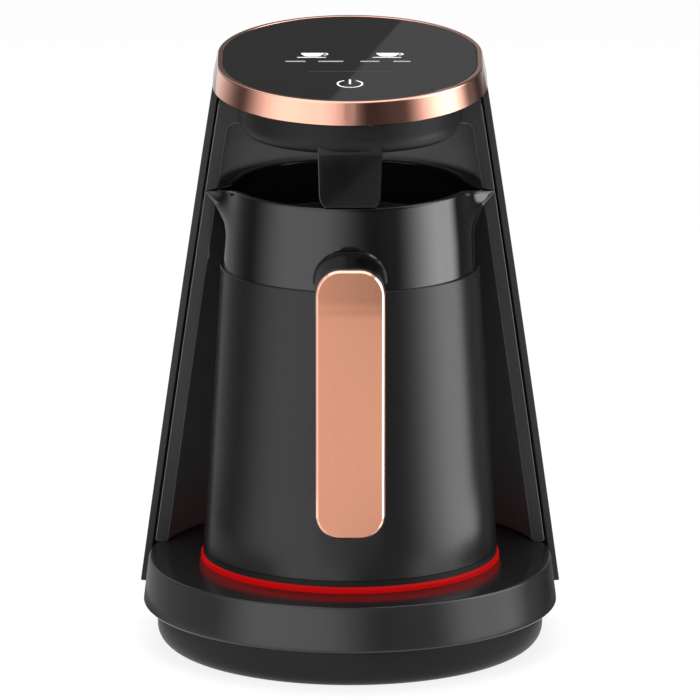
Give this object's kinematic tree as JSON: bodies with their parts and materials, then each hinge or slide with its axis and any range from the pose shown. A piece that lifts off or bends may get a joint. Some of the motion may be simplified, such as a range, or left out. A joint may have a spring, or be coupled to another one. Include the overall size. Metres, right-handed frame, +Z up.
{
  "type": "electric turkish coffee maker",
  "caption": "Electric Turkish coffee maker: round base with lit hot plate, hollow back with tilted touch head and foam sensor, and a spouted jug with a handle that slides forward off the plate.",
  "frame": {"origin": "on the axis of the round base and the jug, on the surface that the feet stand on", "axes": "+Z up, -Y the front where the handle and the touch panel face the user, +X to the user's right"},
  "size_m": [0.1614, 0.1676, 0.2321],
  "materials": {
    "rubber": "matt silicone rubber",
    "matt_black": "fine-grained matt black moulded plastic",
    "satin_black": "satin black moulded plastic",
    "gloss_black": "piano-gloss black",
    "smoked_glass": "gloss, black back-painted touch glass",
    "red_light": "translucent red light guide, lit from below",
    "rose_gold": "rose-gold plating, satin on the handle and polished on the trim",
    "steel": "zinc-plated or bare steel",
    "coated_steel": "steel with a black non-stick coating",
    "cast_aluminium": "turned cast aluminium",
    "circuit_board": "solder-masked board",
    "lamp": "clear resin lamp",
    "dark_plastic": "moulded component bodies",
    "harness_sleeve": "woven sleeve round thin wires",
    "ceramic_fuse": "glazed ceramic"
  },
  "bodies": {
    "machine": {"rubber_feet": "rubber", "base_lower_shell": "matt_black", "base_screws": "steel", "base_upper_shell": "satin_black", "light_ring": "red_light", "led_ring_board": "circuit_board", "ring_lamps": "lamp", "plate_carrier": "steel", "carrier_screws": "steel", "hot_plate": "cast_aluminium", "plate_seal": "rubber", "heating_element": "steel", "thermal_cutout": "dark_plastic", "thermal_fuse": "ceramic_fuse", "probe_spring": "steel", "power_board": "circuit_board", "relay": "dark_plastic", "supply_module": "dark_plastic", "capacitor": "dark_plastic", "terminal_block": "dark_plastic", "cord_gland": "rubber", "cord_clamp": "matt_black", "rear_shell": "matt_black", "niche_liner": "matt_black", "shell_screws": "steel", "wire_harness": "harness_sleeve", "harness_clips": "matt_black", "head_cover": "matt_black", "head_screws": "steel", "trim_ring": "rose_gold", "glass_panel": "smoked_glass", "touch_board": "circuit_board", "display_mask": "matt_black", "display_lamps": "lamp", "touch_springs": "steel", "buzzer": "dark_plastic", "sensor_arm": "gloss_black", "sensor_window": "dark_plastic", "sensor_diodes": "lamp", "sensor_board": "circuit_board"},
    "probe": {"probe_cap": "coated_steel", "probe_thermistor": "ceramic_fuse"},
    "jug": {"pot_collar": "gloss_black", "pot_sleeve": "matt_black", "pot_base_cap": "matt_black", "pot_base_screws": "steel", "pot_vessel": "coated_steel", "pot_seal": "rubber", "pot_heat_disc": "cast_aluminium", "handle_grip": "matt_black", "handle_plate": "rose_gold", "handle_screws": "steel"}
  },
  "joints": [
    {"name": "jug_slide", "type": "slide", "parent": "machine", "child": "jug", "axis": [0, -1, 0], "range_m": [0, 0.14]},
    {"name": "probe_press", "type": "slide", "parent": "machine", "child": "probe", "axis": [0, 0, 1], "range_m": [-0.002, 0], "stiffness_N_per_m": 200, "springref_m": 0.001, "deforming": ["probe_spring"]}
  ]
}
